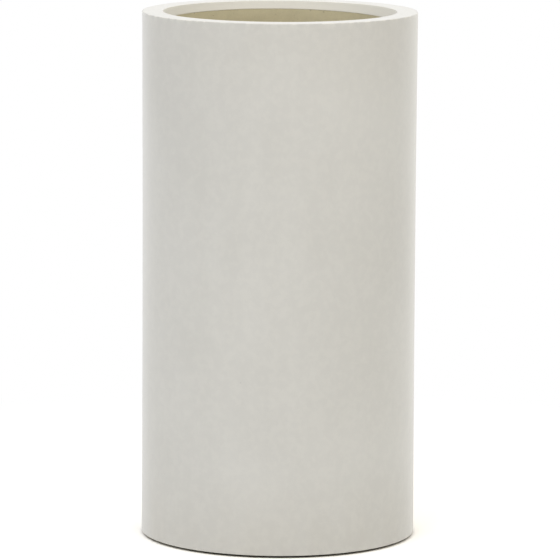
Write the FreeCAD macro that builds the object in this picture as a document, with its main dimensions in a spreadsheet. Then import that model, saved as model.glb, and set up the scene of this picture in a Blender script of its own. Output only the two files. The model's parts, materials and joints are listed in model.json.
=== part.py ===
"""A tall round floor planter: a thick concrete casting under a white face coat that turns into its mouth.

The casting's inside is drafted, so that its core comes out. Its floor holds a cast-in drain sleeve, closed
by a ribbed rubber plug, and it stands on four rubber pads that leave a thin shadow gap. Millimetres, +Z up,
with the origin on the ground under the middle of the planter.
"""

import FreeCAD, Part
import os

import Sketcher

# Driving dimensions in millimetres: the alias, its size and what it measures.
DIMENSIONS = (
    ("outer_diameter", 365, "outside of the finished wall"),
    ("overall_height", 700, "ground to rim, pads included"),
    ("rim_width", 28.5, "flat rim, and so the finished wall at the mouth"),
    ("foot_wall", 33, "finished wall where it meets the floor"),
    ("coat_thickness", 1.5, "white face coat"),
    ("coat_return", 12, "how far the coat turns down inside the mouth"),
    ("coat_end_radius", 1.2, "edge where the coat stops inside the mouth"),
    ("rim_edge_radius", 1.2, "outer edge of the rim"),
    ("mouth_edge_radius", 1.2, "inner edge of the rim"),
    ("core_edge_radius", 0.5, "edges of the casting under the coat"),
    ("ground_edge_radius", 1, "outer edge at the ground"),
    ("floor_thickness", 32, "floor of the casting"),
    ("floor_cove_radius", 25, "hollow between wall and floor"),
    ("drain_bore", 25, "clear bore of the drain sleeve"),
    ("sleeve_wall", 2.5, "tube of the drain sleeve"),
    ("sleeve_flange_diameter", 50, "flange of the drain sleeve"),
    ("sleeve_flange_thickness", 3, "flange of the drain sleeve"),
    ("sleeve_lead_in", 0.8, "rounded mouth of the sleeve"),
    ("plug_clearance", 0.25, "gap round the plug's ribs"),
    ("plug_head_diameter", 38, "head that rests on the sleeve"),
    ("plug_head_height", 6, "head of the plug"),
    ("plug_head_radius", 3.5, "rounded edge of the head"),
    ("plug_dish_diameter", 22, "shallow dish in the top of the head"),
    ("plug_dish_depth", 0.9, "shallow dish in the top of the head"),
    ("plug_stem_length", 24, "stem below the head"),
    ("plug_stem_diameter", 19, "stem under the head"),
    ("plug_tip_diameter", 15, "stem at its tip"),
    ("plug_rib_start", 4, "underside of the head to the first rib"),
    ("plug_rib_thickness", 1.4, "rim of one rib"),
    ("plug_rib_bevel", 2.4, "slope under one rib"),
    ("plug_rib_pitch", 6.5, "rib to rib"),
    ("plug_rib_count", 3, "ribs on the stem"),
    ("pad_diameter", 32, "foot pad"),
    ("pad_thickness", 3, "foot pad, and so the shadow gap"),
    ("pad_edge_radius", 0.8, "lower edge of a foot pad"),
    ("pad_circle_diameter", 284, "circle through the pads' centres"),
)

# Places and sizes that follow from the driving dimensions.
OUTER_RADIUS = "Dims.outer_diameter / 2"
MOUTH_RADIUS = f"{OUTER_RADIUS} - Dims.rim_width"
CORE_RADIUS = f"{OUTER_RADIUS} - Dims.coat_thickness"
CORE_MOUTH_RADIUS = f"{MOUTH_RADIUS} + Dims.coat_thickness"
CORE_FOOT_RADIUS = f"{OUTER_RADIUS} - Dims.foot_wall"
UNDERSIDE = "Dims.pad_thickness"
RIM_TOP = "Dims.overall_height"
CORE_TOP = f"{RIM_TOP} - Dims.coat_thickness"
COAT_END = f"{RIM_TOP} - Dims.coat_return"
FLOOR_TOP = f"{UNDERSIDE} + Dims.floor_thickness"
SLEEVE_BORE_RADIUS = "Dims.drain_bore / 2"
SLEEVE_TUBE_RADIUS = f"{SLEEVE_BORE_RADIUS} + Dims.sleeve_wall"
SLEEVE_FLANGE_RADIUS = "Dims.sleeve_flange_diameter / 2"
SLEEVE_FLANGE_BOTTOM = f"{FLOOR_TOP} - Dims.sleeve_flange_thickness"
PLUG_HEAD_RADIUS = "Dims.plug_head_diameter / 2"
PLUG_HEAD_TOP = f"{FLOOR_TOP} + Dims.plug_head_height"
PLUG_DISH_RADIUS = "Dims.plug_dish_diameter / 2"
PLUG_DISH_FLOOR = f"{PLUG_HEAD_TOP} - Dims.plug_dish_depth"
PLUG_DISH_FLOOR_RADIUS = f"{PLUG_DISH_RADIUS} - 2 * Dims.plug_dish_depth"
PLUG_TIP = f"{FLOOR_TOP} - Dims.plug_stem_length"
PLUG_RIB_RADIUS = f"{SLEEVE_BORE_RADIUS} - Dims.plug_clearance"
PLUG_RIB_TOP = f"{FLOOR_TOP} - Dims.plug_rib_start"
PLUG_RIB_EDGE = f"{PLUG_RIB_TOP} - Dims.plug_rib_thickness"
PLUG_RIB_ROOT = f"{PLUG_RIB_EDGE} - Dims.plug_rib_bevel"
AXIS = "0"

# Where each foot pad stands, as degrees round the planter from +X. The front is -Y.
PAD_ANGLES = {"back_right": 45, "back_left": 135, "front_left": 225, "front_right": 315}

SAME_PLACE = 1e-4


def add_dimensions(doc):
    """Puts the driving dimensions in a spreadsheet, one aliased cell each."""
    sheet = doc.addObject("Spreadsheet::Sheet", "Dims")
    for row, (alias, size, meaning) in enumerate(DIMENSIONS, start=1):
        sheet.set(f"A{row}", meaning)
        sheet.set(f"B{row}", str(size))
        sheet.setAlias(f"B{row}", alias)
    doc.recompute()


def size_of(body, expression):
    """The number that an expression on the dimensions comes to."""
    return float(body.evalExpression(expression))


def origin_plane(body, role):
    """One of a body's own origin planes."""
    return next(plane for plane in body.Origin.OriginFeatures if plane.Role == role)


def add_sketch(body, name, role):
    """An empty sketch on one of a body's origin planes."""
    sketch = body.newObject("Sketcher::SketchObject", name)
    sketch.AttachmentSupport = [(origin_plane(body, role), "")]
    sketch.MapMode = "FlatFace"
    return sketch


def bind(sketch, constraint, name, expression):
    """Adds a named constraint that follows an expression."""
    index = sketch.addConstraint(constraint)
    sketch.renameConstraint(index, name)
    sketch.setExpression(f"Constraints.{name}", expression)


def add_profile(body, name, corners):
    """A closed outline in the XZ plane, through corners given as (radius, height) expressions."""
    sketch = add_sketch(body, name, "XZ_Plane")
    points = [FreeCAD.Vector(size_of(body, radius), size_of(body, height), 0) for radius, height in corners]
    count = len(points)
    for index in range(count):
        sketch.addGeometry(Part.LineSegment(points[index], points[(index + 1) % count]))
    for index in range(count):
        sketch.addConstraint(Sketcher.Constraint("Coincident", index, 2, (index + 1) % count, 1))
    for index, (radius, height) in enumerate(corners):
        point = points[index]
        if radius == AXIS:
            sketch.addConstraint(Sketcher.Constraint("PointOnObject", index, 1, -2))
        else:
            across = Sketcher.Constraint("DistanceX", -1, 1, index, 1, point.x)
            bind(sketch, across, f"radius_{index}", radius)
        upward = Sketcher.Constraint("DistanceY", -1, 1, index, 1, point.y)
        bind(sketch, upward, f"height_{index}", height)
    return sketch


def turn_profile(body, name, corners):
    """Turns a profile once round the Z axis."""
    sketch = add_profile(body, f"{name}_profile", corners)
    turn = body.newObject("PartDesign::Revolution", name)
    turn.Profile = sketch
    turn.ReferenceAxis = (sketch, ["V_Axis"])
    turn.Angle = 360
    body.Document.recompute()
    return turn


def round_ring(body, name, edge_radius, ring_radius, ring_height):
    """Rounds the circular edge that has this radius and height."""
    wanted_radius = size_of(body, ring_radius)
    wanted_height = size_of(body, ring_height)
    base = body.Tip
    edges = [
        f"Edge{number}"
        for number, edge in enumerate(base.Shape.Edges, start=1)
        if isinstance(edge.Curve, Part.Circle)
        and abs(edge.Curve.Radius - wanted_radius) < SAME_PLACE
        and abs(edge.Curve.Center.z - wanted_height) < SAME_PLACE
    ]
    if len(edges) != 1:
        raise RuntimeError(f"{name}: found {len(edges)} edges to round, and not one")
    fillet = body.newObject("PartDesign::Fillet", name)
    fillet.Base = (base, edges)
    fillet.setExpression("Radius", edge_radius)
    body.Document.recompute()


def make_face_coat(doc):
    """The white coat, even in thickness: up the outside, over the rim and a little way down the mouth."""
    body = doc.addObject("PartDesign::Body", "face_coat")
    turn_profile(
        body,
        "coat",
        [
            (CORE_RADIUS, UNDERSIDE),
            (OUTER_RADIUS, UNDERSIDE),
            (OUTER_RADIUS, RIM_TOP),
            (MOUTH_RADIUS, RIM_TOP),
            (MOUTH_RADIUS, COAT_END),
            (CORE_MOUTH_RADIUS, COAT_END),
            (CORE_MOUTH_RADIUS, CORE_TOP),
            (CORE_RADIUS, CORE_TOP),
        ],
    )
    round_ring(body, "rim_edge", "Dims.rim_edge_radius", OUTER_RADIUS, RIM_TOP)
    round_ring(body, "rim_edge_back", "Dims.core_edge_radius", CORE_RADIUS, CORE_TOP)
    round_ring(body, "mouth_edge", "Dims.mouth_edge_radius", MOUTH_RADIUS, RIM_TOP)
    round_ring(body, "mouth_edge_back", "Dims.core_edge_radius", CORE_MOUTH_RADIUS, CORE_TOP)
    round_ring(body, "coat_end", "Dims.coat_end_radius", MOUTH_RADIUS, COAT_END)
    round_ring(body, "ground_edge", "Dims.ground_edge_radius", OUTER_RADIUS, UNDERSIDE)
    return body


def make_planter_body(doc):
    """The concrete casting: floor and drafted wall in one, with a seat for the drain sleeve."""
    body = doc.addObject("PartDesign::Body", "planter_body")
    turn_profile(
        body,
        "casting",
        [
            (AXIS, UNDERSIDE),
            (CORE_RADIUS, UNDERSIDE),
            (CORE_RADIUS, CORE_TOP),
            (CORE_MOUTH_RADIUS, CORE_TOP),
            (CORE_MOUTH_RADIUS, COAT_END),
            (CORE_FOOT_RADIUS, FLOOR_TOP),
            (AXIS, FLOOR_TOP),
        ],
    )
    round_ring(body, "core_rim_edge", "Dims.core_edge_radius", CORE_RADIUS, CORE_TOP)
    round_ring(body, "core_mouth_edge", "Dims.core_edge_radius", CORE_MOUTH_RADIUS, CORE_TOP)
    round_ring(body, "floor_cove", "Dims.floor_cove_radius", CORE_FOOT_RADIUS, FLOOR_TOP)
    cut_sleeve_seat(body)
    return body


def cut_sleeve_seat(body):
    """Cuts the stepped hole in the floor that the drain sleeve fills."""
    sketch = add_sketch(body, "sleeve_seat_centre", "XY_Plane")
    sketch.setExpression("AttachmentOffset.Base.z", FLOOR_TOP)
    tube_radius = size_of(body, SLEEVE_TUBE_RADIUS)
    circle = sketch.addGeometry(Part.Circle(FreeCAD.Vector(), FreeCAD.Vector(0, 0, 1), tube_radius))
    sketch.addConstraint(Sketcher.Constraint("Coincident", circle, 3, -1, 1))
    bind(sketch, Sketcher.Constraint("Radius", circle, tube_radius), "tube", SLEEVE_TUBE_RADIUS)
    body.Document.recompute()
    hole = body.newObject("PartDesign::Hole", "sleeve_seat")
    hole.Profile = sketch
    hole.DepthType = "ThroughAll"
    hole.HoleCutType = "Counterbore"
    hole.HoleCutCustomValues = True
    hole.setExpression("Diameter", f"2 * ({SLEEVE_TUBE_RADIUS})")
    hole.setExpression("HoleCutDiameter", "Dims.sleeve_flange_diameter")
    hole.setExpression("HoleCutDepth", "Dims.sleeve_flange_thickness")
    body.Document.recompute()


def make_drain_sleeve(doc):
    """The flanged plastic tube that is cast into the floor, flush above and below."""
    body = doc.addObject("PartDesign::Body", "drain_sleeve")
    turn_profile(
        body,
        "sleeve",
        [
            (SLEEVE_BORE_RADIUS, UNDERSIDE),
            (SLEEVE_TUBE_RADIUS, UNDERSIDE),
            (SLEEVE_TUBE_RADIUS, SLEEVE_FLANGE_BOTTOM),
            (SLEEVE_FLANGE_RADIUS, SLEEVE_FLANGE_BOTTOM),
            (SLEEVE_FLANGE_RADIUS, FLOOR_TOP),
            (SLEEVE_BORE_RADIUS, FLOOR_TOP),
        ],
    )
    round_ring(body, "lead_in", "Dims.sleeve_lead_in", SLEEVE_BORE_RADIUS, FLOOR_TOP)
    return body


def make_drain_plug(doc):
    """The rubber plug: a dished head on a tapered stem, with ribs that fill the sleeve's bore."""
    body = doc.addObject("PartDesign::Body", "drain_plug")
    turn_profile(
        body,
        "plug",
        [
            (AXIS, PLUG_TIP),
            ("Dims.plug_tip_diameter / 2", PLUG_TIP),
            ("Dims.plug_stem_diameter / 2", FLOOR_TOP),
            (PLUG_HEAD_RADIUS, FLOOR_TOP),
            (PLUG_HEAD_RADIUS, PLUG_HEAD_TOP),
            (PLUG_DISH_RADIUS, PLUG_HEAD_TOP),
            (PLUG_DISH_FLOOR_RADIUS, PLUG_DISH_FLOOR),
            (AXIS, PLUG_DISH_FLOOR),
        ],
    )
    round_ring(body, "head_edge", "Dims.plug_head_radius", PLUG_HEAD_RADIUS, PLUG_HEAD_TOP)
    rib = turn_profile(
        body,
        "rib",
        [
            (AXIS, PLUG_RIB_ROOT),
            ("Dims.plug_tip_diameter / 2", PLUG_RIB_ROOT),
            (PLUG_RIB_RADIUS, PLUG_RIB_EDGE),
            (PLUG_RIB_RADIUS, PLUG_RIB_TOP),
            (AXIS, PLUG_RIB_TOP),
        ],
    )
    ribs = body.newObject("PartDesign::LinearPattern", "ribs")
    ribs.Originals = [rib]
    ribs.Direction = (rib.Profile[0], ["V_Axis"])
    ribs.Reversed = True
    ribs.setExpression("Length", "Dims.plug_rib_pitch * (Dims.plug_rib_count - 1)")
    ribs.setExpression("Occurrences", "Dims.plug_rib_count")
    body.Tip = ribs
    doc.recompute()
    return body


def make_foot_pad(doc, place, angle):
    """One rubber disc stuck to the underside, with its lower edge rounded."""
    body = doc.addObject("PartDesign::Body", f"foot_pad_{place}")
    turn_profile(
        body,
        f"pad_{place}",
        [
            (AXIS, AXIS),
            ("Dims.pad_diameter / 2", AXIS),
            ("Dims.pad_diameter / 2", "Dims.pad_thickness"),
            (AXIS, "Dims.pad_thickness"),
        ],
    )
    round_ring(body, f"pad_edge_{place}", "Dims.pad_edge_radius", "Dims.pad_diameter / 2", AXIS)
    body.setExpression("Placement.Base.x", f"Dims.pad_circle_diameter / 2 * cos({angle} deg)")
    body.setExpression("Placement.Base.y", f"Dims.pad_circle_diameter / 2 * sin({angle} deg)")
    doc.recompute()
    return body


def check(doc, bodies):
    """Stops the script if a feature failed or a sub-part isn't one sound solid."""
    for item in doc.Objects:
        if "Invalid" in item.State or "Error" in item.State:
            raise RuntimeError(f"{item.Label} failed: {item.State}")
    for body in bodies:
        shape = body.Shape
        if shape.isNull() or not shape.isValid() or len(shape.Solids) != 1:
            raise RuntimeError(f"{body.Label} isn't one sound solid")


def main():
    """Builds the planter's pieces and writes each one to a STEP file of its own name."""
    doc = FreeCAD.newDocument("planter")
    add_dimensions(doc)
    bodies = [make_face_coat(doc), make_planter_body(doc), make_drain_sleeve(doc), make_drain_plug(doc)]
    bodies += [make_foot_pad(doc, place, angle) for place, angle in PAD_ANGLES.items()]
    doc.recompute()
    check(doc, bodies)
    os.makedirs("parts", exist_ok=True)
    for body in bodies:
        body.Shape.exportStep(os.path.join("parts", f"{body.Label}.step"))
        print(f"{body.Label}: {body.Shape.Volume / 1000:.2f} cm3")


main()
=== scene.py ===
"""Looks of a tall round concrete planter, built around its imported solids.

The white face coat, the bare casting, the drain sleeve with its plug and the foot pads are each turned
from a half section. Lengths are in metres, heights are above the ground, and the front is -Y.
"""

import json
import logging
import math
from dataclasses import dataclass, field, replace
from enum import Enum

import bpy
from mathutils import Euler, Matrix, Vector


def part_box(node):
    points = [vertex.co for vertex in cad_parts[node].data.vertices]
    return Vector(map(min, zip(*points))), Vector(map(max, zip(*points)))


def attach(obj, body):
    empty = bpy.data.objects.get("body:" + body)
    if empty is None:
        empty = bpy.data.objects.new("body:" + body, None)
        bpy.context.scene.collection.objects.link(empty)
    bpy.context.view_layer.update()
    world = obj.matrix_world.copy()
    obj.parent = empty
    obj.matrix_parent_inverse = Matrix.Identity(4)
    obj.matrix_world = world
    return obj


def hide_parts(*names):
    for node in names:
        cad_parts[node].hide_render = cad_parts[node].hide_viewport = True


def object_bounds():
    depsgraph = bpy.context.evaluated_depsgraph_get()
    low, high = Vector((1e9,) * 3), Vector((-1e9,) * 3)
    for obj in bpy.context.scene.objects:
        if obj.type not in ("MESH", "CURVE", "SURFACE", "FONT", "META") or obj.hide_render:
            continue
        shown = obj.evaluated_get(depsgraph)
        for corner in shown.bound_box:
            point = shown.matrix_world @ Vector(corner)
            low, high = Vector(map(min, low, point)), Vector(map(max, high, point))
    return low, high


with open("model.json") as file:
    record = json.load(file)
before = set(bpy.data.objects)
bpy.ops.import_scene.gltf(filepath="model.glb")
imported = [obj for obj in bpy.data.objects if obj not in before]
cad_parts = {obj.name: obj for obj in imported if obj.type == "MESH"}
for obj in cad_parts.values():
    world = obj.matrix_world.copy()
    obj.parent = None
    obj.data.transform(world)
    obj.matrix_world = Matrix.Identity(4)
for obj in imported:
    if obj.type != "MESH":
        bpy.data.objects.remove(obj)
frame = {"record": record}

LOG = logging.getLogger("planter")

CAD_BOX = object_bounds()

MM = 0.001
NODE_SPACING = 220.0
NOISE_SPAN = (0.3, 0.7)
FINE_GUARD = 0.15 * MM

Socket = bpy.types.NodeSocket
Span = tuple[float, float]
Triple = tuple[float, float, float]
Colour = Triple


class Body(Enum):
    """Bodies that a piece can ride on."""

    PLANTER = "planter"
    DRAIN_PLUG = "drain_plug"


class Slot(Enum):
    """Material slots of the record."""

    FACE_COAT = "white_face_coat"
    CONCRETE = "bare_concrete"
    PLASTIC = "grey_plastic"
    RUBBER = "black_rubber"


class Leaving(Enum):
    """Direction in which a rounded corner is entered."""

    OUTWARD = "along the radius"
    UPRIGHT = "along the height"


class Mark(Enum):
    """Point attributes that a turned mesh carries."""

    GIVE = "give"
    DROP = "drop"
    EDGE = "edge"
    PIT = "pit"


class WhiteRay(Enum):
    """Kinds of ray that see the surroundings as plain white."""

    CAMERA = "Is Camera Ray"
    GLOSSY = "Is Glossy Ray"
    TRANSMISSION = "Is Transmission Ray"


@dataclass(frozen=True)
class Grain:
    """Smooth noise: width of its features, a number or a socket, and its finer layers' count and share."""

    size: object
    detail: float = 2.0
    roughness: float = 0.5


@dataclass(frozen=True)
class Scatter:
    """Round spots: the spacing of the places for one, its largest width, and the share that is taken."""

    spacing: float
    width: float
    share: float


class NodeSheet:
    """A node tree that is being laid out, for geometry, a material or the world."""

    def __init__(self, tree: bpy.types.NodeTree) -> None:
        """Start on a tree, which may already hold nodes."""
        self.tree = tree

    def add(self, kind: str, inputs: dict | None = None, **options: object) -> bpy.types.Node:
        """Add one node, set its options and fill its inputs.

        Args:
            kind: Identifier of the node's type.
            inputs: For an input's name or index, the socket to link to it or the value to give it.
            options: The node's own options.

        Returns:
            The new node.
        """
        node = self.tree.nodes.new(kind)
        node.location.x = NODE_SPACING * len(self.tree.nodes)
        for option, choice in options.items():
            setattr(node, option, choice)
        for key, value in (inputs or {}).items():
            self.feed(node.inputs[key], value)
        return node

    def out(self, kind: str, inputs: dict | None = None, **options: object) -> Socket:
        """Add one node, as add does, and give its first output."""
        return self.add(kind, inputs, **options).outputs[0]

    def feed(self, socket: Socket, value: object) -> None:
        """Link a socket to an input, or give the input a value.

        Args:
            socket: The input to fill.
            value: An output socket, or a plain value.
        """
        if isinstance(value, Socket):
            self.tree.links.new(value, socket)
        else:
            socket.default_value = value

    def math(self, operation: str, *values: object) -> Socket:
        """Combine sockets or numbers, in the order in which the Math node's operation takes them."""
        return self.out("ShaderNodeMath", dict(enumerate(values)), operation=operation)

    def weighted(self, values: tuple[object, ...], weights: tuple[object, ...]) -> Socket:
        """Add numbers up, each times its own weight.

        Args:
            values: Sockets of the numbers.
            weights: A socket or a number for each of them.

        Returns:
            The sum's socket.
        """
        total = 0.0
        for value, weight in zip(values, weights, strict=True):
            total = self.math("MULTIPLY_ADD", value, weight, total)
        return total

    def scaled(self, vector: object, scale: object) -> Socket:
        """Stretch a vector, or a vector's socket, by a number or a number's socket."""
        return self.out("ShaderNodeVectorMath", {0: vector, "Scale": scale}, operation="SCALE")

    def ramp(self, value: object, low: float, high: float, first: float = 0.0, last: float = 1.0) -> Socket:
        """Map a number from low and high to first and last, smoothly and within those bounds."""
        inputs = {"Value": value, "From Min": low, "From Max": high, "To Min": first, "To Max": last}
        return self.out("ShaderNodeMapRange", inputs, interpolation_type="SMOOTHSTEP")

    def noise(self, vector: Socket, grain: Grain, seed: object = 0.0) -> Socket:
        """Lay smooth noise.

        Args:
            vector: Coordinates in metres.
            grain: Size of the features, and their finer layers.
            seed: Picks another pattern.

        Returns:
            A number's socket, about 0.2 to 0.8.
        """
        size = grain.size
        scale = self.math("DIVIDE", 1.0, size) if isinstance(size, Socket) else 1.0 / size
        layers = {"Detail": grain.detail, "Roughness": grain.roughness}
        inputs = {"Vector": vector, "W": seed, "Scale": scale, **layers}
        return self.add("ShaderNodeTexNoise", inputs, noise_dimensions="4D").outputs["Fac"]

    def mix(self, factor: object, first: object, second: object) -> Socket:
        """Blend two colours.

        Args:
            factor: Share of the second colour.
            first: Colour or socket.
            second: Colour or socket.

        Returns:
            The blended colour's socket.
        """
        colours = [c if isinstance(c, Socket) else (*c, 1.0) for c in (first, second)]
        inputs = {0: factor, 6: colours[0], 7: colours[1]}
        return self.add("ShaderNodeMix", inputs, data_type="RGBA").outputs[2]

    def flattened(self, vector: Socket) -> Socket:
        """Level part of a vector, with no height."""
        inputs = {0: vector, 1: (1.0, 1.0, 0.0)}
        return self.out("ShaderNodeVectorMath", inputs, operation="MULTIPLY")

    def flat_length(self, vector: Socket) -> Socket:
        """Length of a vector seen from above."""
        inputs = {0: self.flattened(vector)}
        return self.add("ShaderNodeVectorMath", inputs, operation="LENGTH").outputs["Value"]

    def attribute(self, mark: Mark) -> Socket:
        """Read a point attribute in a geometry tree."""
        inputs = {"Name": mark.value}
        return self.out("GeometryNodeInputNamedAttribute", inputs, data_type="FLOAT")


class ShaderSheet(NodeSheet):
    """Nodes of one surface finish, patterned on Object coordinates."""

    def __init__(self, name: str) -> None:
        """Start a material with a Principled shader.

        Args:
            name: The material's name.
        """
        self.material = bpy.data.materials.new(name)
        self.material.use_nodes = True
        super().__init__(self.material.node_tree)
        self.shader = self.tree.nodes["Principled BSDF"]
        self.place = self.add("ShaderNodeTexCoord").outputs["Object"]

    def stretched(self, scale: Triple) -> Socket:
        """Coordinates times factors for X, Y and Z, of which a small one draws the pattern out."""
        return self.out("ShaderNodeMapping", {"Vector": self.place, "Scale": scale})

    def spots(self, scatter: Scatter) -> Socket:
        """Lay scattered round spots, with a soft edge over half of the largest radius.

        Args:
            scatter: Their spacing, width and share.

        Returns:
            A number's socket, 1 in a spot and 0 elsewhere.
        """
        inputs = {"Vector": self.place, "Scale": 1.0 / scatter.spacing}
        cells = self.add("ShaderNodeTexVoronoi", inputs).outputs
        chance = self.add("ShaderNodeSeparateColor", {0: cells["Color"]}).outputs
        largest = scatter.width / scatter.spacing / 2.0
        reach = self.math("MULTIPLY", chance["Green"], largest)
        depth = self.math("SUBTRACT", reach, cells["Distance"])
        chosen = self.math("LESS_THAN", chance["Red"], scatter.share)
        return self.math("MULTIPLY", self.ramp(depth, 0.0, largest / 2.0), chosen)

    def mark(self, mark: Mark) -> Socket:
        """Read a point attribute of the mesh in a material."""
        return self.add("ShaderNodeAttribute", attribute_name=mark.value).outputs["Fac"]

    def height(self) -> Socket:
        """Height above the ground."""
        return self.add("ShaderNodeSeparateXYZ", {0: self.place}).outputs["Z"]

    def radius(self) -> Socket:
        """Distance from the planter's axis."""
        return self.flat_length(self.place)

    def bump(self, relief: Socket, depth: float) -> None:
        """Give the shader a relief, whose height is a share of its depth."""
        normal = self.out("ShaderNodeBump", {"Height": relief, "Distance": depth, "Strength": 1.0})
        self.feed(self.shader.inputs["Normal"], normal)

    def finish(self, colour: Socket, roughness: Socket) -> bpy.types.Material:
        """Connect colour and roughness to the shader.

        Args:
            colour: The base colour's socket.
            roughness: The roughness's socket.

        Returns:
            The finished material.
        """
        self.feed(self.shader.inputs["Base Color"], colour)
        self.feed(self.shader.inputs["Roughness"], roughness)
        return self.material


@dataclass(frozen=True)
class CoatFinish:
    """Matt white cement coat with soft clouds and fine sand, darker and warmer towards the bottom and under
    the rim.

    A few pinholes carry painted shade, the inside return and the rim's top carry painted light, and the
    rounded edges carry a painted highlight in patches.
    """

    outer_radius: float
    mouth_radius: float
    top: float
    pale: Colour = (0.690, 0.684, 0.647)
    dull: Colour = (0.645, 0.638, 0.600)
    # painted light: a paler colour, laid in full on the inside return and in part on the rim's top
    fresh: Colour = (0.935, 0.922, 0.858)
    rim_share: float = 0.43
    lip_start: float = 2.4 * MM
    lip_blend: float = 0.8 * MM
    # colour that the wall turns towards, darker and warmer, near the bottom and just under the rim
    dust: Colour = (0.480, 0.435, 0.350)
    # painted shade in the pinholes
    pore: Colour = (0.300, 0.280, 0.240)
    # painted highlight, laid in patches along the rounded edges
    worn: Colour = (0.935, 0.915, 0.830)
    worn_range: Span = (0.42, 0.62)
    worn_share: float = 0.5
    tone_weights: tuple[float, ...] = (0.50, 0.22, 0.16, 0.12)
    tone_range: Span = (0.36, 0.64)
    clouds: Grain = Grain(0.16, 4.0, 0.55)
    streaks: Grain = Grain(0.045, 3.0)
    streak_stretch: Triple = (1.0, 1.0, 0.12)
    freckles: Grain = Grain(0.012, 3.0, 0.6)
    sand: Grain = Grain(1.1 * MM, 2.0, 0.7)
    pinholes: Scatter = Scatter(17.0 * MM, 1.6 * MM, 0.22)
    dust_height: float = 0.130
    dust_share: float = 0.23
    run_height: float = 0.160
    run_share: float = 0.12
    soil_least: float = 0.4
    relief: float = 0.22 * MM
    relief_weights: tuple[float, ...] = (0.6, 0.5, -1.6)
    roughness: Span = (0.74, 0.88)
    sheen: float = 0.70
    sheen_roughness: float = 0.35

    def material(self) -> bpy.types.Material:
        """Build the coat's material.

        Returns:
            The material, patterned by place and by the mesh's edges.
        """
        sheet = ShaderSheet("white face coat")
        clouds = sheet.noise(sheet.place, self.clouds)
        streaks = sheet.noise(sheet.stretched(self.streak_stretch), self.streaks)
        freckles = sheet.noise(sheet.place, self.freckles)
        sand = sheet.noise(sheet.place, self.sand)
        pores = sheet.spots(self.pinholes)

        tone = sheet.weighted((clouds, streaks, freckles, sand), self.tone_weights)
        colour = sheet.mix(sheet.ramp(tone, *self.tone_range), self.dull, self.pale)

        # Darker and warmer towards the bottom and just under the rim, broken up by the streaks.
        height = sheet.height()
        low = sheet.ramp(height, 0.0, self.dust_height, self.dust_share, 0.0)
        high = sheet.ramp(height, self.top - self.run_height, self.top, 0.0, self.run_share)
        streaked = sheet.ramp(streaks, *NOISE_SPAN, self.soil_least)
        darkened = sheet.math("MULTIPLY", sheet.math("ADD", low, high), streaked)
        colour = sheet.mix(darkened, colour, self.dust)

        # Painted light on the lip: the paler colour in full on the inside return, in part on the rim's top.
        radius = sheet.radius()
        lip_end = self.outer_radius - self.lip_start
        rim_start = self.mouth_radius + self.lip_blend
        lip = sheet.ramp(radius, lip_end, lip_end + self.lip_blend, 1.0, 0.0)
        painted_lip_light_share = sheet.ramp(radius, self.mouth_radius, rim_start, 1.0, self.rim_share)
        colour = sheet.mix(sheet.math("MULTIPLY", lip, painted_lip_light_share), colour, self.fresh)

        # Painted highlight along the rounded edges, in patches.
        edge_highlight = sheet.ramp(freckles, *self.worn_range, 0.0, self.worn_share)
        colour = sheet.mix(sheet.math("MULTIPLY", sheet.mark(Mark.EDGE), edge_highlight), colour, self.worn)
        # Painted shade in the pinholes.
        colour = sheet.mix(pores, colour, self.pore)

        sheet.bump(sheet.weighted((freckles, sand, pores), self.relief_weights), self.relief)
        sheet.shader.inputs["Sheen Weight"].default_value = self.sheen
        sheet.shader.inputs["Sheen Roughness"].default_value = self.sheen_roughness
        return sheet.finish(colour, sheet.ramp(freckles, *NOISE_SPAN, *self.roughness))


@dataclass(frozen=True)
class ConcreteFinish:
    """Bare tan concrete as it left the mould: pour bands, sand, grit, and blow holes with painted shade in
    them.
    """

    light: Colour = (0.661, 0.604, 0.414)
    dark: Colour = (0.536, 0.484, 0.325)
    grit: Colour = (0.360, 0.320, 0.225)
    # painted shade in the blow holes and the small pores
    hollow: Colour = (0.180, 0.156, 0.105)
    grit_tint: float = 0.45
    pit_tint: float = 0.55
    pore_tint: float = 0.85
    tone_weights: tuple[float, ...] = (0.38, 0.24, 0.24, 0.14)
    tone_range: Span = (0.36, 0.64)
    seed: float = 36.28
    clouds: Grain = Grain(0.09, 4.0, 0.6)
    bands: Grain = Grain(0.028, 3.0)
    band_stretch: Triple = (0.08, 0.08, 1.0)
    blotches: Grain = Grain(0.016, 4.0, 0.65)
    sand: Grain = Grain(1.4 * MM, 2.0, 0.7)
    stones: Scatter = Scatter(6.5 * MM, 3.4 * MM, 0.35)
    pores: Scatter = Scatter(13.0 * MM, 3.2 * MM, 0.45)
    relief: float = 0.6 * MM
    relief_weights: tuple[float, ...] = (0.5, 0.45, 0.15, -1.4)
    roughness: Span = (0.80, 0.94)

    def material(self) -> bpy.types.Material:
        """Build the bare concrete's material.

        Returns:
            The material, patterned by place and by the mesh's blow holes.
        """
        sheet = ShaderSheet("bare concrete")
        clouds = sheet.noise(sheet.place, self.clouds, self.seed)
        bands = sheet.noise(sheet.stretched(self.band_stretch), self.bands, self.seed)
        blotches = sheet.noise(sheet.place, self.blotches, self.seed)
        sand = sheet.noise(sheet.place, self.sand, self.seed)
        grit = sheet.spots(self.stones)
        pores = sheet.spots(self.pores)

        tone = sheet.weighted((clouds, bands, blotches, sand), self.tone_weights)
        colour = sheet.mix(sheet.ramp(tone, *self.tone_range), self.dark, self.light)
        # Grit is darker stone; the blow holes and pores get painted shade.
        spot_tints = (
            (grit, self.grit_tint, self.grit),
            (sheet.mark(Mark.PIT), self.pit_tint, self.hollow),
            (pores, self.pore_tint, self.hollow),
        )
        for where, tint, spot_colour in spot_tints:
            colour = sheet.mix(sheet.math("MULTIPLY", where, tint), colour, spot_colour)

        sheet.bump(sheet.weighted((blotches, sand, grit, pores), self.relief_weights), self.relief)
        return sheet.finish(colour, sheet.ramp(blotches, *NOISE_SPAN, *self.roughness))


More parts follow.
